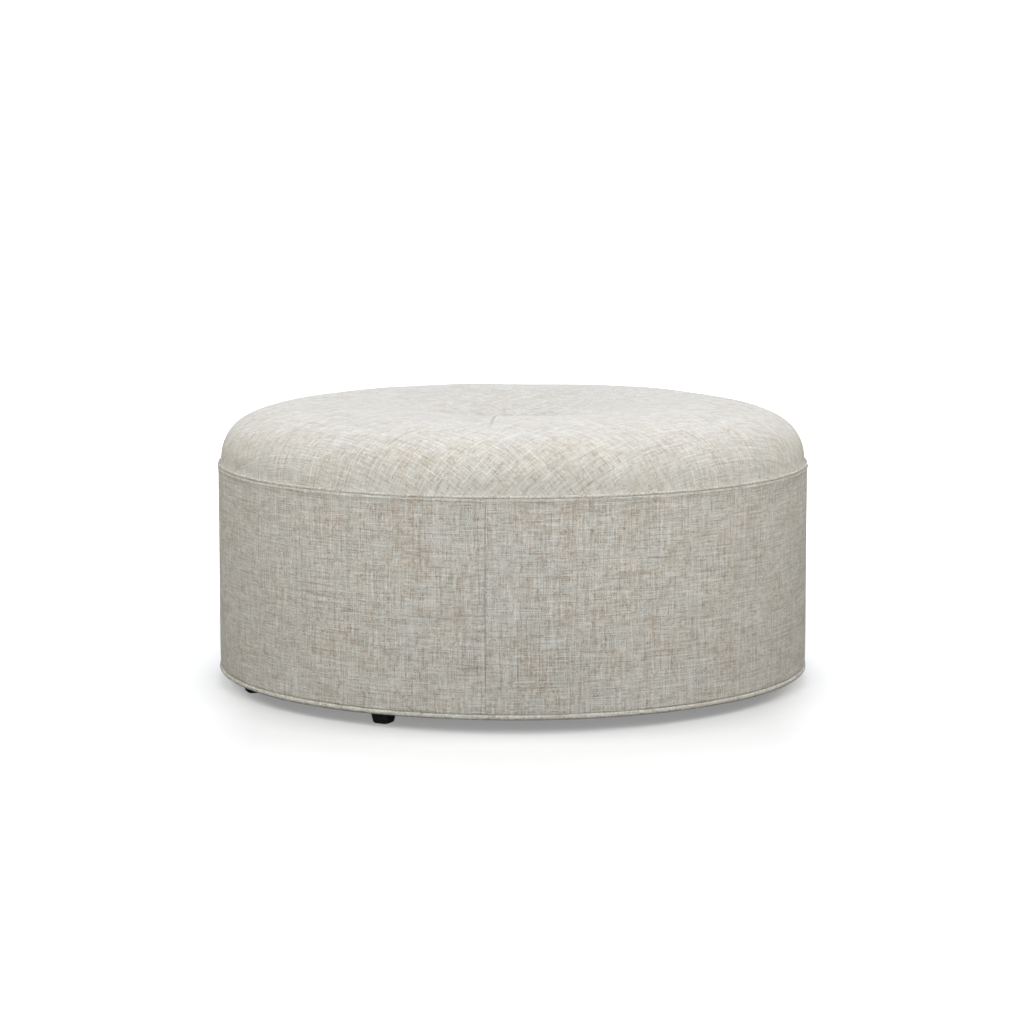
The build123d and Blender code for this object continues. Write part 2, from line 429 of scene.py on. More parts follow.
def weave(name, relief, strength, warmth):
    """Slubby linen-look plain weave on the cloth's own flat metres, its yarns more or less unlike."""
    finish = Finish(name)
    flat = finish.node("ShaderNodeUVMap", {"uv_map": "cloth"})
    along, up, _ = finish.axes(flat)
    drift = finish.noise(flat, 40) * 0.6
    a = along / thread + drift
    b = up / thread + drift
    crossing = (a * pi).sine() * (b * pi).sine()
    warp_up = crossing > 0

    def spun(across, length, stretch, seed, detail=2.0):
        """What each yarn is like along its own length."""
        return finish.noise(finish.join(across.floor() * 3.71, length / stretch, seed), 1, detail, 0.7)

    def both(stretch, seed, wide=1.0, detail=2.0):
        warp = spun(a / wide, up, stretch, seed, detail)
        weft = spun(b / wide, along, stretch, seed + 40.0, detail)
        return warp * warp_up + weft * (1 - warp_up)

    yarn = both(0.022, 0.0, 1.0, 3.0)
    line = both(0.090, 9.0)
    slub = both(0.0055, 21.0, 1.0, 1.0)
    patch = finish.noise(flat, 75, 3, 0.7)
    cloud = finish.noise(flat, 16, 2, 0.5)
    light = (yarn - 0.5) * (1.9 * strength) + (line - 0.5) * (2.4 * strength)
    light = light + (0.5 - patch) * (0.1 * strength)
    dark = (slub + (patch - 0.5) * 0.3).between(0.60, 0.68)
    brown = (0.5 + (patch - 0.5) * 0.7 - (yarn - 0.5) * 0.9 + (cloud - 0.5) * 0.35).between(0.46, 0.68)
    base = finish.blend(light.between(-0.05, 0.5), ground_yarn, bright_yarn)
    warm = finish.blend(brown * warmth, base, tan_yarn)
    deep = finish.blend((0.0 - light).between(-0.05, 0.6) * 0.75, warm, dark_yarn)
    slubbed = finish.blend(dark * (0.7 * strength), deep, dark_yarn)
    # Painted shade: the colour darkens between the yarns, where the bump sinks.
    gap_shade = 1 - crossing.size().between(0.0, 0.3)
    gap_shaded = finish.blend(gap_shade * 0.25, slubbed, (0.16, 0.13, 0.10))
    height = crossing.size() ** 0.5 + light * 1.5 + dark * 0.6
    return finish.surface(
        Base_Color=gap_shaded,
        Roughness=0.88,
        Sheen_Weight=0.15,
        Sheen_Roughness=0.6,
        Normal=finish.bump(height, relief),
    )


oatmeal = weave("oatmeal_weave", relief=0.00035, strength=0.94, warmth=0.52)
# Painted light: the crown's copy of the same cloth has less contrast and less tan, which gives the washed-out
# look of its brightly lit top.
oatmeal_lit_top = weave("oatmeal_weave_crown", relief=0.0003, strength=0.78, warmth=0.38)

pleat_bearing = radians(-8)
pleat_spread = radians(5.5)
evenly = np.linspace(0, 2 * pi, 7201)
off_pleat = (evenly - pleat_bearing + pi) % (2 * pi) - pi
crowding = np.cumsum(1 + swell(off_pleat, pleat_spread, 2.2))
crown_turns = np.interp(np.linspace(crowding[0], crowding[-1], 601)[:-1], crowding, evenly)
face = crown_profile(0, step=0.0042)
wrap_thickness = 0.0132
back = crown_profile(wrap_thickness, step=0.016)
allowance_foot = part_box("crown_cover")[0].z
crown_rim = np.linspace(crown_foot, allowance_foot, 8)[1:]
inner_rim = crown_radius - 0.0012
crown_section = np.concatenate(
    [
        [(r, face[0][1]) for r in (twine_hole, 0.006, 0.011)],
        face,
        [(crown_radius, z) for z in crown_rim],
        [(inner_rim, allowance_foot), (inner_rim, crown_foot)],
        back[::-1],
        [(twine_hole, back[0][1])],
    ]
)
skin = 3 + len(face)


def rings(radius, step):
    """Points a step apart on rings about the axis, and the number of each one's ring."""
    points = [(0.0, 0.0)]
    ring = [0]
    count = round(radius / step)
    for number in range(1, count + 1):
        around = max(6, round(2 * pi * radius * number / count / step))
        turns = 2 * pi * np.arange(around) / around + number * 2.4
        points += list(zip(radius * number / count * np.cos(turns), radius * number / count * np.sin(turns)))
        ring += [number] * around
    return np.array(points), np.array(ring)


def triangles(points):
    """The triangles between points on a plane, facing up."""
    return np.array(delaunay_2d_cdt([Vector(point) for point in points], [], [], 0, 1e-7)[2])


def pulled_down(outline, hold, depth):
    """How a button folds a domed cloth: its points, and how far each is off its ring's mean.

    outline is the dome's section from the axis outwards. The cloth is held at its rim, and where its
    radius is under hold it is drawn down by depth.
    """
    run = np.append(0, np.cumsum(np.linalg.norm(np.diff(outline, axis=0), axis=1)))
    flat, ring = rings(run[-1], step=0.006)
    out = np.hypot(*flat.T)
    direction = flat / np.maximum(out, 1e-9)[:, None]
    level = direction * np.interp(out, run, outline[:, 0])[:, None]
    place = np.column_stack([level, np.interp(out, run, outline[:, 1])])
    unevenness = 0.00015
    place[:, 2] += np.random.default_rng(5).normal(0, unevenness, len(place))
    mesh = bpy.data.meshes.new("pulled_cloth")
    mesh.from_pydata(place.tolist(), [], triangles(flat).tolist())
    cloth = bpy.data.objects.new("pulled_cloth", mesh)
    bpy.context.scene.collection.objects.link(cloth)
    middle = np.flatnonzero(out < hold)
    held = np.append(middle, np.flatnonzero(ring == ring.max()))
    cloth.vertex_groups.new(name="held").add(held.tolist(), 1.0, "REPLACE")
    cloth.shape_key_add(name="slack")
    pull = cloth.shape_key_add(name="pulled")
    place[middle, 2] = outline[0, 1] - depth
    pull.data.foreach_set("co", place.ravel())
    pulled_by, settled_by = 16, 26
    for moment, value in ((1, 0.0), (pulled_by, 1.0)):
        pull.value = value
        pull.keyframe_insert("value", frame=moment)
    modifier = cloth.modifiers.new("cloth", "CLOTH")
    modifier.point_cache.frame_end = settled_by
    modifier.settings.effector_weights.gravity = 0
    qualities = {
        "quality": 6,
        "mass": 0.3,
        "tension_stiffness": 15,
        "compression_stiffness": 15,
        "shear_stiffness": 5,
        "bending_stiffness": 0.02,
        "vertex_group_mass": "held",
        "use_pressure": True,
        "uniform_pressure_force": 4.0,
    }
    for key, value in qualities.items():
        setattr(modifier.settings, key, value)
    for moment in range(1, settled_by + 1):
        bpy.context.scene.frame_set(moment)
    evaluated = cloth.evaluated_get(bpy.context.evaluated_depsgraph_get())
    settled = np.zeros(len(flat) * 3)
    evaluated.data.vertices.foreach_get("co", settled)
    settled = settled.reshape(-1, 3)
    lift = settled[:, 2] - (np.bincount(ring, settled[:, 2]) / np.bincount(ring))[ring]
    keys = mesh.shape_keys
    action = keys.animation_data.action
    keys.animation_data_clear()
    bpy.data.actions.remove(action)
    bpy.data.objects.remove(cloth)
    bpy.data.meshes.remove(mesh)
    bpy.context.scene.frame_set(1)
    return settled[:, :2], lift


def crease(x, y, path, width, depth, fade):
    """A pleat along a path of (x, y) points: a narrow valley with a soft lip, fading at both ends."""
    path = np.array(path)
    best = np.full(x.shape, 1e9)
    along = np.zeros(x.shape)
    total = 0
    for start, end in zip(path, path[1:]):
        way = end - start
        length = hypot(*way)
        t = np.clip(((x - start[0]) * way[0] + (y - start[1]) * way[1]) / length**2, 0, 1)
        gap = np.hypot(x - start[0] - t * way[0], y - start[1] - t * way[1])
        nearer = gap < best
        best = np.where(nearer, gap, best)
        along = np.where(nearer, total + t * length, along)
        total += length
    share = along / total
    strength = depth * np.clip(share / fade[0], 0, 1) * np.clip((1 - share) / fade[1], 0, 1)
    lip = swell(best / width, 3, 0.15)
    return strength * (lip - swell(best, width))


def tone(bearing, waves):
    """A smooth wander round the drum, from waves of (count round the drum, size, phase)."""
    return sum(size * np.sin(count * bearing + phase) for count, size, phase in waves)


def crown_relief(radius, bearing):
    """How far the crown's face stands off its plain outline, in metres."""
    x = radius * np.sin(bearing)
    y = -radius * np.cos(bearing)
    near_seam = swell(crown_radius - radius, 0.02)
    off = tone(bearing, ((3, 0.0006, 1.0), (5, 0.0005, 2.2), (8, 0.0003, 0.4))) * np.clip(radius / 0.3, 0, 1)
    off = off + 0.0005 * np.sin(x * 31 + 1) * np.sin(y * 27 + 2)
    front = (
        (-0.006, -0.016),
        (-0.020, -0.10),
        (-0.0277, -0.246),
        (-0.0316, -0.328),
        (-0.0372, -0.373),
        (-0.0385, -0.43),
    )
    rear = ((-0.010, 0.014), (-0.0185, 0.064), (-0.0126, 0.102), (-0.004, 0.15))
    off = off + crease(x, y, front, width=0.0013, depth=0.0055, fade=(0.15, 0.7))
    off = off + crease(x, y, rear, width=0.0025, depth=0.0016, fade=(0.1, 0.4))
    return off * (1 - 0.8 * near_seam)


def tuft_relief(radius, bearing):
    """The tuft's folds on the crown's face, from the simulation, dying away up the slope."""
    deepest_fold = 0.0025
    pressed_flat = 0.0135
    crest = int(np.argmax(face[:, 1]))
    level = [(r, face[crest, 1]) for r in np.arange(0, face[crest, 0] - 0.002, 0.004)]
    dome = np.concatenate([level, face[crest:]])
    points, lift = pulled_down(dome, pressed_flat, face[crest, 1] - face[0, 1])
    near = KDTree(len(points))
    for number, point in enumerate(points):
        near.insert((*point, 0), number)
    near.balance()
    radius, bearing = np.broadcast_arrays(radius, bearing)
    off = np.zeros(radius.shape)
    reach = np.interp(radius, (0.015, 0.022, 0.06, 0.1, 0.2, 0.28), (0, 1, 1, 0.3, 0.1, 0))
    for spot in zip(*np.nonzero(reach)):
        r = radius[spot]
        found = near.find_n((r * sin(bearing[spot]), -r * cos(bearing[spot]), 0), 5)
        weights = [1 / (gap + 0.001) ** 2 for _, _, gap in found]
        off[spot] = np.average([lift[number] for _, number, _ in found], weights=weights)
    return np.clip(off * reach, -deepest_fold, deepest_fold)


def puckers(bearing, above, count, phase):
    """The seam's little gathers beside a welt, by the distance above or below it."""
    uneven = 0.6 + 0.4 * np.sin(bearing * 37 + phase) * np.sin(bearing * 11 + 2 * phase)
    gathers = np.sin(bearing * count + 2.5 * np.sin(bearing * 19 + phase))
    gather_depth = 0.00028
    near = swell(above, 0.010) * (1 - swell(above, 0.002))
    return gather_depth * uneven * gathers * near


loops = np.repeat(crown_section[None], len(crown_turns), 0)
ahead = np.gradient(crown_section[:skin], axis=0)
normal = np.stack([-ahead[:, 1], ahead[:, 0]], -1)
normal /= np.linalg.norm(normal, axis=1)[:, None]
on_face = crown_section[None, 3:skin, 0], crown_turns[:, None]
lift = crown_relief(*on_face) + tuft_relief(*on_face)
loops[:, 3:skin] += lift[..., None] * normal[None, 3:]
rolled_points = 14
wall = slice(skin - rolled_points, skin + len(crown_rim))
above_seam = np.clip(loops[:, wall, 1] - seam_height, 0, 1)
seam_roll = 0.0022
seam_roll_height = 0.0035
loops[:, wall, 0] += seam_roll * np.exp(-above_seam / seam_roll_height)
loops[:, wall, 0] += puckers(crown_turns[:, None], above_seam, count=149, phase=0.7)
bias = radians(45)
crown = turned(
    "crown_cushion",
    loops,
    crown_turns,
    lambda bearing, run: (run * np.sin(bearing + bias), -run * np.cos(bearing + bias)),
)
finished(crown, oatmeal_lit_top, "crown_cover", slot="upholstery_cloth")


# Top welt: a bias strip of the same cloth sewn round a 4 mm cord, in the crown's seam.
# Its flange goes down inside the drum, and its two ends are joined on the slant at the back.
join = radians(171)


def welt(name, circle, height, radius, node, hang=0.0):
    """A welt on a circle at a height. hang is how far its underside sags."""
    beside_join = np.arange(-12, 13) * 0.0005 / circle + join
    turns = np.sort(np.concatenate([np.linspace(0, 2 * pi, 721)[:-1], beside_join]))
    angles = np.linspace(0, 2 * pi, 21)[:-1]
    wander = tone(turns, ((7, 0.00012, 0.3), (23, 0.00010, 1.7), (61, 0.00008, 2.9)))[:, None]
    off_join = (turns[:, None] - join) * circle - radius * np.sin(angles)
    join_depth = 0.0004
    join_width = 0.0007
    ring = radius + wander - swell(off_join, join_width, join_depth)
    down = hang * (1 - np.sin(angles)) / 2
    section = np.stack([circle + ring * np.cos(angles), height - down + ring * np.sin(angles)], -1)
    piece = turned(
        name,
        section,
        turns,
        lambda bearing, run: ((circle * bearing + run) * sqrt(0.5), (circle * bearing - run) * sqrt(0.5)),
    )
    return finished(piece, oatmeal, node, slot="upholstery_cloth")


top_welt_circle = 0.4553
top_welt_radius = 0.0025
welt("welt_top", top_welt_circle, seam_height, top_welt_radius, "top_welt")


# Band: three lengths of the cloth run round the side, sewn end to end with upright seams.
# Stretched over the foam, turned under the base and stapled there.
drum_radius = 0.457
cloth_thickness = 0.0012
panel_low, panel_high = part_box("band_panel_rear")
turned_under = 0.040


def band_panel(name, number):
    """One length of the band, from its seam to the next."""
    gap = 0.00004 / drum_radius
    start = seam_bearings[number] + gap / 2
    end = start + radians(120) - gap
    beside_seam = np.array([0, 0.3, 0.6, 1.0, 1.4, 1.9, 2.7, 4, 6, 9, 12.5, 17, 21]) * 0.001 / drum_radius
    middle = np.linspace(start + beside_seam[-1], end - beside_seam[-1], 225)
    turns = np.concatenate([start + beside_seam[:-1], middle, end - beside_seam[-2::-1]])
    corner = 0.003
    into_seam = 0.0006
    heights = panel_high.z + into_seam - np.arange(0, 0.0125, 0.0007)
    heights = np.append(heights, np.linspace(heights[-1] - 0.002, panel_low.z + corner, 58))
    wall = [(drum_radius, z) for z in heights]
    bend = [
        (drum_radius - corner + corner * cos(turn), panel_low.z + corner - corner * sin(turn))
        for turn in np.linspace(0, pi / 2, 6)[1:]
    ]
    top_of_turn = panel_low.z + cloth_thickness
    under = [(drum_radius - turned_under, panel_low.z), (drum_radius - turned_under, top_of_turn)]
    inside = drum_radius - cloth_thickness
    section = np.array(wall + bend + under + [(inside, top_of_turn), (inside, panel_high.z)])
    shown = len(wall) + len(bend)
    height = section[None, :shown, 1]
    loops = np.repeat(section[None], len(turns), 0)
    near = np.minimum(turns - start, end - turns)[:, None] * drum_radius
    seam_line = swell(near, 0.0009, 0.0014)
    seam_pull = swell(near, 0.010, 0.0006)
    dip = -seam_line - seam_pull
    soft = tone(turns[:, None] + height * 0.6, ((9, 0.00028, 0.4), (17, 0.0002, 2.0), (4, 0.0003, 1.1)))
    pull = np.clip((panel_high.z - height) / 0.03, 0, 1) * np.clip((height - panel_low.z) / 0.03, 0, 1)
    below = panel_high.z - height
    fold = swell(below - 0.002, 0.006, 0.0008) + swell(below - 0.0026, 0.0012, 0.0005)
    gathers = puckers(turns[:, None], below, count=157, phase=1.9)
    loops[:, :shown, 0] += dip + fold + (gathers + soft * pull) * np.clip(near / 0.02, 0, 1)
    loops[:, -2:, 0] += dip
    piece = turned(name, loops, turns, lambda bearing, run: (bearing * drum_radius, -run), ends=True)
    finished(piece, oatmeal, name.replace("cloth", "panel"), slot="upholstery_cloth")


for number, name in enumerate(("band_cloth_right", "band_cloth_rear", "band_cloth_left")):
    band_panel(name, number)


# Bottom welt: the same welt on a thicker cord, stapled under the edge of the base.
# It stands a little proud of the band, hangs a little slack and hides the turned edge.
low_welt_circle = 0.4555
low_welt_height = 0.0242
low_welt_radius = 0.003
welt("welt_bottom", low_welt_circle, low_welt_height, low_welt_radius, "bottom_welt", hang=0.0016)


# Dust cover: black spunbonded cloth stapled across the underside, to keep dust in.
# Cut round the two middle feet, which stand on the bare wood, and a little slack in its middle.
dust = Finish("dust_cloth")
web = dust.noise(dust.place(), 900, 3, 0.7)
dimple = dust.node("ShaderNodeTexVoronoi", None, {"Vector": dust.place(), "Scale": 420.0})
dust.surface(
    Base_Color=dust.blend(web.between(0.35, 0.65), (0.010, 0.010, 0.011), (0.035, 0.035, 0.037)),
    Roughness=0.85,
    Normal=dust.bump(web + dimple, 0.0002),
)
dust_low, dust_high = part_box("dust_cover")
dust_radius = dust_high.x
cut_half = 0.0183
feet_nodes = (
    "foot_left_front",
    "foot_left_rear",
    "foot_right_rear",
    "foot_rear",
    "foot_middle_right",
    "foot_middle_left",
)
feet_places = [(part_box(node)[0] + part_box(node)[1]) / 2 for node in feet_nodes]


def foot_axes(place):
    """A foot's middle, and its directions out from the drum's axis and along the rim."""
    middle = np.array([place.x, place.y])
    outwards = middle / hypot(*middle)
    return middle, np.array([outwards, (-outwards[1], outwards[0])])


dust_points = rings(dust_radius, step=0.009)[0]
cut_margin = 0.003
side = np.linspace(-cut_half, cut_half, 7)
rim = [(x, -cut_half) for x in side] + [(x, cut_half) for x in side]
rim += [(-cut_half, y) for y in side[1:-1]] + [(cut_half, y) for y in side[1:-1]]
cuts = [foot_axes(place) for place in feet_places[4:]]
for middle, axes in cuts:
    clear = np.abs((dust_points - middle) @ axes.T).max(1) > cut_half + cut_margin
    dust_points = np.concatenate([dust_points[clear], middle + np.array(rim) @ axes])
dust_faces = triangles(dust_points)
for middle, axes in cuts:
    centres = dust_points[dust_faces].mean(1)
    dust_faces = dust_faces[np.abs((centres - middle) @ axes.T).max(1) > cut_half]
x, y = dust_points.T
out = np.hypot(x, y)
sag = 0.0005 * np.sin(x * 23 + 1) * np.sin(y * 19) + 0.00035 * np.sin(x * 41 - y * 37)
slack_radius = 0.385
slack_fade = 0.08
under = dust_low.z + sag * np.clip((slack_radius - out) / slack_fade, 0, 1)
count = len(dust_points)
edges = {(int(a), int(b)) for corners in dust_faces for a, b in zip(corners, np.roll(corners, -1))}
rim = [(a, b) for a, b in edges if (b, a) not in edges]
upper = np.stack([x, y, under + dust_high.z - dust_low.z], -1)
lower = np.stack([x, y, under], -1)
skins = dust_faces.tolist() + (dust_faces[:, ::-1] + count).tolist()
dust_mesh = bpy.data.meshes.new("dust_cloth_cover")
dust_mesh.from_pydata(
    np.concatenate([upper, lower]).tolist(), [], skins + [(b, a, a + count, b + count) for a, b in rim]
)
dust_mesh.shade_smooth()
dust_cover = bpy.data.objects.new("dust_cloth_cover", dust_mesh)
bpy.context.scene.collection.objects.link(dust_cover)
finished(dust_cover, dust.material, "dust_cover", slot="dust_cloth")


# Staples: a ring of wire staples, shot up through the dust cover into the base with a gun.
# They lie along the rim about 30 mm apart, and leave out the four outer feet.
class Recipe(Nodes):
    """A tree of Geometry Nodes with named sizes, grown on a few points into one plain mesh."""

    def __init__(self, name, **sizes):
        super().__init__(bpy.data.node_groups.new(name, "GeometryNodeTree"))
        self.sizes = sizes
        self.tree.interface.new_socket("Geometry", in_out="OUTPUT", socket_type="NodeSocketGeometry")
        self.tree.interface.new_socket("Geometry", in_out="INPUT", socket_type="NodeSocketGeometry")
        for key, value in sizes.items():
            kind = "NodeSocketInt" if isinstance(value, int) else "NodeSocketFloat"
            self.tree.interface.new_socket(key, in_out="INPUT", socket_type=kind)
        self.start = self.tree.nodes.new("NodeGroupInput")

    def given(self, key):
        return Signal(self, self.start.outputs[key])

    def random(self, low, high, seed):
        """A random vector between two others."""
        sockets = {"Min": low, "Max": high, "Seed": seed}
        return self.node("FunctionNodeRandomValue", {"data_type": "FLOAT_VECTOR"}, sockets)

    def scatter(self, points, instance, low, high):
        """The instance on each point, turned by a random amount between two turns."""
        turn = self.random(low, high, self.given("Seed"))
        sockets = {"Points": points, "Instance": instance, "Rotation": turn}
        return self.node("GeometryNodeInstanceOnPoints", None, sockets)

    def grow(self, instances, material, points):
        """Ends the tree, grows it on the points and returns the piece."""
        real = self.node("GeometryNodeRealizeInstances", None, {"Geometry": instances})
        dressed = self.node("GeometryNodeSetMaterial", None, {"Geometry": real, "Material": material})
        end = self.tree.nodes.new("NodeGroupOutput")
        self.tree.links.new(dressed.socket, end.inputs["Geometry"])
        seeds = bpy.data.meshes.new(f"{self.tree.name}_seeds")
        seeds.from_pydata(points, [], [])
        piece = bpy.data.objects.new(self.tree.name, seeds)
        bpy.context.scene.collection.objects.link(piece)
        modifier = piece.modifiers.new("recipe", "NODES")
        modifier.node_group = self.tree
        for socket in self.tree.interface.items_tree:
            if socket.in_out == "INPUT" and socket.name in self.sizes:
                modifier[socket.identifier] = self.sizes[socket.name]
        evaluated = piece.evaluated_get(bpy.context.evaluated_depsgraph_get())
        grown = bpy.data.meshes.new_from_object(evaluated)
        grown.polygons.foreach_set("material_index", [0] * len(grown.polygons))
        piece.modifiers.remove(modifier)
        piece.data = grown
        bpy.data.meshes.remove(seeds)
        return finished(piece, material)


def steel(name, colour):
    """Plated steel with a faint unevenness."""
    finish = Finish(name)
    cloud = finish.noise(finish.place(), 500, 2, 0.6)
    return finish.surface(Base_Color=colour, Metallic=1.0, Roughness=0.3 + cloud * 0.2)


staples = Recipe("dust_staples", Count=92, Circle=0.434, Width=0.010, Leg=0.004, Wire=0.00045, Seed=7)
count, circle = staples.given("Count"), staples.given("Circle")
staple_circle = staples.node("GeometryNodeMeshCircle", None, {"Vertices": count, "Radius": circle})
staple_x, staple_y, _ = staples.axes(staples.node("GeometryNodeInputPosition"))
frame_bearing = radians(-48.3)
foot_spread = radians(21.7)
off_frame = staple_x.arctan2(0 - staple_y) - frame_bearing
at_foot = ((off_frame * 2).cosine() - cos(2 * foot_spread)).size() < 0.1
clear_points = {"Geometry": staple_circle, "Selection": at_foot}
clear_points = staples.node("GeometryNodeDeleteGeometry", None, clear_points)
jitter = staples.random((-0.002, -0.002, 0.0), (0.002, 0.002, 0.0), staples.given("Seed") + 1)
loose_points = staples.node("GeometryNodeSetPosition", None, {"Geometry": clear_points, "Offset": jitter})
wire_line = staples.node("GeometryNodeCurvePrimitiveLine", None, {"End": (0.0, 0.01, 0.0)})
wire_points = staples.node("GeometryNodeResampleCurve", None, {"Curve": wire_line, "Count": 9})
half = staples.given("Width") * 0.5
along_wire = staples.node("GeometryNodeSplineParameter") - 0.5
along_wire = along_wire * (staples.given("Width") + 2 * staples.given("Leg"))
along_bar = along_wire.at_most(half).at_least(0 - half)
bent_line = staples.join(0.0, along_bar, (along_wire.size() - half).at_least(0.0))
bent_wire = staples.node("GeometryNodeSetPosition", None, {"Geometry": wire_points, "Position": bent_line})
wire_round = {"Resolution": 5, "Radius": staples.given("Wire")}
wire_round = staples.node("GeometryNodeCurvePrimitiveCircle", None, wire_round)
staple = {"Curve": bent_wire, "Profile Curve": wire_round, "Fill Caps": True}
staple = staples.node("GeometryNodeCurveToMesh", None, staple)
scattered = staples.scatter(loose_points, staple, (0.0, 0.0, -0.15), (0.0, 0.0, 0.15))
staple_x, staple_y, _ = staples.axes(staples.node("GeometryNodeInputPosition"))
rim_turn = staples.join(0.0, 0.0, staple_y.arctan2(staple_x))
along_rim = staples.node("GeometryNodeRotateInstances", None, {"Instances": scattered, "Rotation": rim_turn})
wire_below = 0.0004
to_cloth = (0.0, 0.0, dust_low.z - wire_below)
drop = {"Instances": along_rim, "Translation": to_cloth, "Local Space": False}
lowered = staples.node("GeometryNodeTranslateInstances", None, drop)
staples.grow(lowered, steel("staple_wire", (0.62, 0.60, 0.57)), [])


# Feet: moulded black plastic blocks, tapered, each screwed up through its recessed middle.
# The mould leaves their corners round and their faces finely textured.
plastic = Finish("foot_plastic")
grainy = plastic.noise(plastic.place(), 1400, 2, 0.6)
scuff = plastic.noise(plastic.place(), 90, 3, 0.6)
plastic.surface(
    Base_Color=plastic.blend(scuff.between(0.4, 0.7), (0.006, 0.006, 0.006), (0.012, 0.012, 0.012)),
    Roughness=0.5 + scuff * 0.15,
    Normal=plastic.bump(grainy, 0.00008),
)
foot_head = 0.018
foot_sole = 0.0125
foot_high = 0.0262
sole_round = 0.0045
screw_seat = 0.014


def round_square(half, corner):
    """Points round a square with round corners, or round a circle where the corner is half the square."""
    arc = np.linspace(0, pi / 2, 11)
    quarter = half - corner + corner * np.stack([np.cos(arc), np.sin(arc)], -1)
    quarters = [quarter @ np.array([[cos(a), sin(a)], [-sin(a), cos(a)]]) for a in np.arange(4) * pi / 2]
    return np.concatenate(quarters)


slope = (foot_head - foot_sole) / foot_high
foot_rings = [(foot_head - 0.0005, 0.0085, foot_high), (foot_head - 0.0001, 0.0089, foot_high - 0.0005)]
for z in np.linspace(foot_high - 0.002, sole_round, 6):
    foot_rings.append((foot_sole + slope * z, 0.0065 + 0.0023 * z / foot_high, z))
side_half, side_corner, _ = foot_rings[-1]
for turn in np.linspace(0, pi / 2, 8)[1:]:
    inward = sole_round * (1 - cos(turn))
    foot_rings.append((side_half - inward, side_corner - 0.6 * inward, sole_round * (1 - sin(turn))))
recess = ((0.0062, 0), (0.0056, 0.0006), (0.0054, screw_seat))
foot_rings += [(radius, radius, z) for radius, z in recess]

for node, place in zip(feet_nodes, feet_places):
    middle, axes = foot_axes(place)
    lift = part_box(node)[0].z
    points = []
    for half, corner, z in foot_rings:
        points += [(x, y, lift + z) for x, y in middle + round_square(half, corner) @ axes]
    around = len(points) // len(foot_rings)
    faces = []
    for ring in range(len(foot_rings) - 1):
        first = ring * around
        for k in range(around):
            after = (k + 1) % around
            faces.append((first + k, first + around + k, first + around + after, first + after))
    points += [(place.x, place.y, lift + foot_high), (place.x, place.y, lift + screw_seat)]
    last = len(points) - 1
    inner = (len(foot_rings) - 1) * around
    for k in range(around):
        after = (k + 1) % around
        faces += [(last - 1, k, after), (last, inner + after, inner + k)]
    foot_mesh = bpy.data.meshes.new(node.replace("foot", "block"))
    foot_mesh.from_pydata(points, [], faces)
    foot_mesh.shade_smooth()
    foot_mesh.set_sharp_from_angle(angle=radians(35))
    block = bpy.data.objects.new(foot_mesh.name, foot_mesh)
    bpy.context.scene.collection.objects.link(block)
    finished(block, plastic.material, node, slot="foot_plastic")


# Foot screws: one pan-head wood screw in each foot's recess, driven up into the base.
# Zinc-plated, with a cross slot that each time stopped at a different turn.
screws = Recipe("foot_screws", Head=0.0042, Slot=0.0009, Seed=3)
head = screws.given("Head")
ball = screws.node("GeometryNodeMeshUVSphere", None, {"Segments": 20, "Rings": 10, "Radius": head})
pan = screws.node("GeometryNodeTransform", None, {"Geometry": ball, "Scale": (1.0, 1.0, 0.6)})
slots = screws.node("GeometryNodeJoinGeometry")
slot_depth = 0.003
arm_size = screws.join(head * 1.3, screws.given("Slot"), slot_depth)
arm = screws.node("GeometryNodeMeshCube", None, {"Size": arm_size})
for turn in (0.0, pi / 2):
    place = {"Geometry": arm, "Rotation": (0.0, 0.0, turn), "Translation": (0.0, 0.0, -slot_depth)}
    turned_arm = screws.node("GeometryNodeTransform", None, place)
    screws.tree.links.new(turned_arm.socket, slots.socket.node.inputs[0])
cut_head = screws.node(
    "GeometryNodeMeshBoolean",
    {"operation": "DIFFERENCE", "solver": "EXACT"},
    {"Mesh 1": pan, "Mesh 2": slots, "Self Intersection": True},
)
seats = [(place.x, place.y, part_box(node)[0].z + screw_seat) for node, place in zip(feet_nodes, feet_places)]
screw_heads = screws.scatter(screws.given("Geometry"), cut_head, (0.0, 0.0, 0.0), (0.0, 0.0, 1.57))
screws.grow(screw_heads, steel("zinc_plate", (0.70, 0.69, 0.66)), seats)


# Tuft button: a domed metal shell covered in the same cloth, held down by the twine.
# Its cloth is gathered behind, so faint pleats run in over its edge.
button_low, button_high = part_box("tuft_button")
button_radius = 0.015
button_edge = button_low.z + 0.0022
button_turns = np.linspace(0, 2 * pi, 193)[:-1]
dome = [
    (button_radius * cos(turn), button_edge + (button_high.z - button_edge) * sin(turn))
    for turn in np.linspace(0, pi / 2, 14)[:-1]
]
pinhole = 0.0005
button_section = [(pinhole, button_high.z)] + dome[::-1] + [(button_radius - 0.0004, button_low.z + 0.0008)]
button_section += [(button_radius - 0.002, button_low.z), (pinhole, button_low.z)]
button_section = np.array(button_section)
button_loops = np.repeat(button_section[None], len(button_turns), 0)
gathered = np.clip((button_section[:, 0] - 0.010) / 0.005, 0, 1) * (button_section[:, 1] > button_low.z)
gather_depth = 0.0002
gather_count = 24
button_loops[..., 0] -= gather_depth * gathered * (1 - np.cos(button_turns * gather_count)[:, None])
button = turned(
    "covered_button",
    button_loops,
    button_turns,
    lambda bearing, run: (run * np.sin(bearing), -run * np.cos(bearing)),
)
finished(button, oatmeal, "tuft_button", slot="upholstery_cloth")


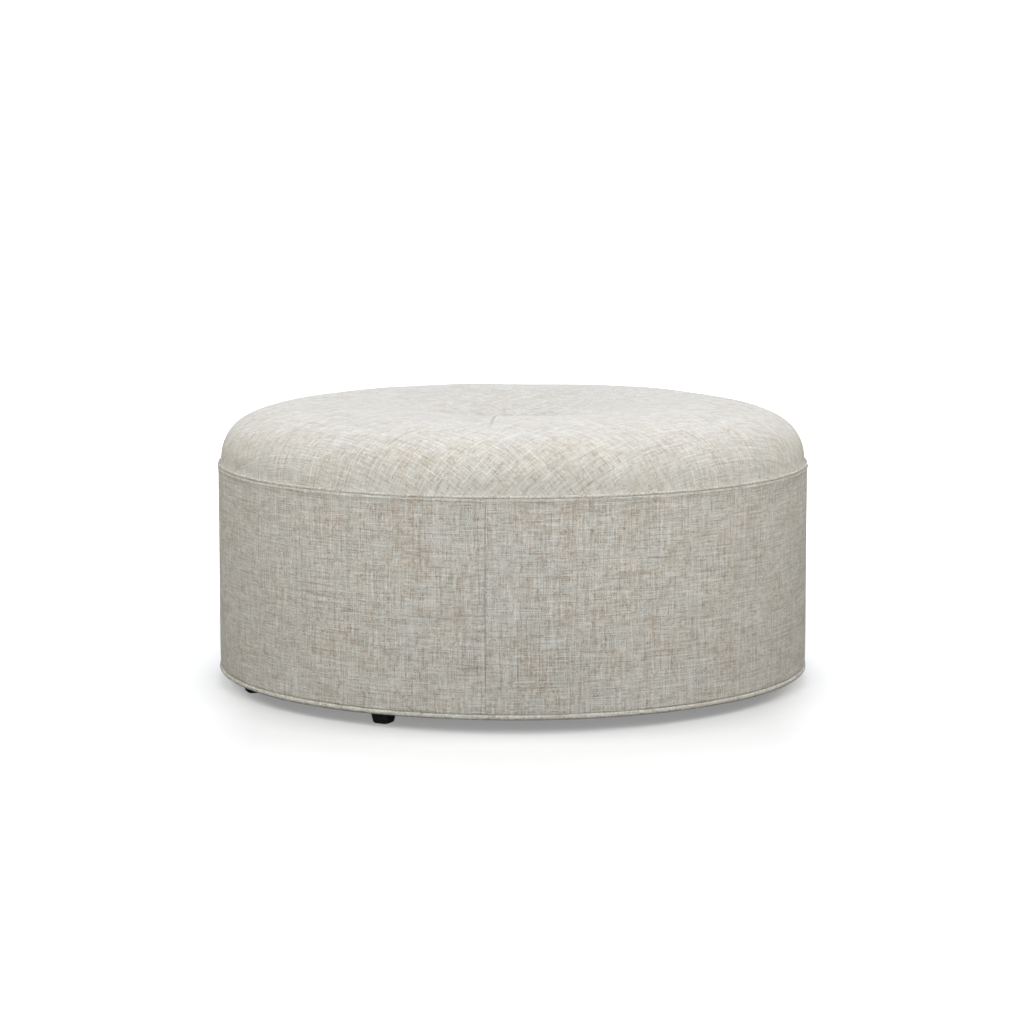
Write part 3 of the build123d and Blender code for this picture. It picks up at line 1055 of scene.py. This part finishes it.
# Studio: a white floor that runs on into lit white walls, with soft boxes all round.
# Its shadows are filled in for the eye alone, as on a catalogue page, so it throws no light back.
floor_mesh = bpy.data.meshes.new("studio_floor")
floor_reach = 40
floor_turns = np.linspace(0, 2 * pi, 65)[:-1]
floor_edge = [(floor_reach * cos(turn), floor_reach * sin(turn), 0) for turn in floor_turns]
floor_mesh.from_pydata(floor_edge, [], [list(range(len(floor_edge)))])
floor = bpy.data.objects.new("studio_floor", floor_mesh)
bpy.context.scene.collection.objects.link(floor)
paper = Finish("floor_paper")
paper_out = paper.vector("LENGTH", paper.place(), out=1)
seen = paper.node("ShaderNodeLightPath", None, None, "Is Camera Ray")
paper_x, _, _ = paper.axes(paper.place())
# Painted light: the floor glows for the camera alone. It is dimmest under and close round the drum and
# brighter further out and beside it, which draws the drum's shadow. For all other rays the floor is near
# black.
glow = 0.275 + paper_out.between(0.42, 0.56) * 0.15 + paper_out.between(0.6, 1.8) * 0.9
glow = (glow + paper_x.size().between(0.36, 0.47) * 0.12) * seen
white = paper.blend(paper.noise(paper.place(), 30), (0.37, 0.37, 0.37), (0.39, 0.39, 0.39))
paper.surface(
    Base_Color=paper.blend(seen, (0.05, 0.05, 0.05), white),
    Roughness=0.9,
    Specular_IOR_Level=0.0,
    Emission_Color=paper.join(glow, glow, glow),
    Emission_Strength=1.0,
)
floor_mesh.materials.append(paper.material)

bpy.context.scene.world = bpy.data.worlds.new("studio_walls")
bpy.context.scene.world.use_nodes = True
studio = Nodes(bpy.context.scene.world.node_tree)
sky_height = studio.axes(studio.node("ShaderNodeTexCoord"))[2]
wall_light = (1 - sky_height.between(0.04, 0.12)) * 3.0
walls = studio.node("ShaderNodeBackground", None, {"Color": (1, 1, 1, 1), "Strength": wall_light})
walls_end = studio.tree.nodes.new("ShaderNodeOutputWorld")
studio.tree.links.new(walls.socket, walls_end.inputs["Surface"])
bpy.context.scene.view_settings.view_transform = "Standard"


def lamp(name, kind, place, aim, **settings):
    """A light at a place, turned to face a point."""
    light = bpy.data.lights.new(name, kind)
    for key, value in settings.items():
        setattr(light, key, value)
    made = bpy.data.objects.new(name, light)
    made.location = place
    made.rotation_euler = (Vector(place) - Vector(aim)).to_track_quat("Z", "Y").to_euler()
    made.visible_camera = False
    bpy.context.scene.collection.objects.link(made)


boxes = (
    ("front_box", (0.1, -1.9, 1.6), (0, -0.2, 0.3), 27.5, 1.2, (0.98, 1.0, 1.09)),
    ("low_box", (0, -2.4, 0.9), (0, 0, 0.2), 25.5, 1.2, (0.99, 1.0, 0.90)),
    ("left_box", (-2.0, -0.2, 1.6), (-0.2, 0, 0.3), 38.0, 1.2, (1.005, 1.0, 0.93)),
    ("right_box", (2.0, -0.2, 1.6), (0.2, 0, 0.3), 39.0, 1.2, (1.005, 1.0, 0.93)),
    ("back_box", (0, 1.6, 1.8), (0, 0, 0.3), 23.0, 1.4, (0.955, 1.0, 1.15)),
)
for name, place, aim, energy, size, colour in boxes:
    lamp(name, "AREA", place, aim, energy=energy, size=size, color=colour)
lamp("back_fill", "SUN", (0, 4, 4), (0, 0, 0), energy=1.28, angle=radians(50), color=(0.955, 1.0, 1.15))

lens = bpy.data.cameras.new("catalogue_camera")
lens.lens = 109.51
lens.sensor_width = 36
camera = bpy.data.objects.new("catalogue_camera", lens)
camera.location = (-0.0012, -4.8224, 0.9153)
camera.rotation_euler = (radians(82.236), 0, 0)
bpy.context.scene.collection.objects.link(camera)
bpy.context.scene.camera = camera
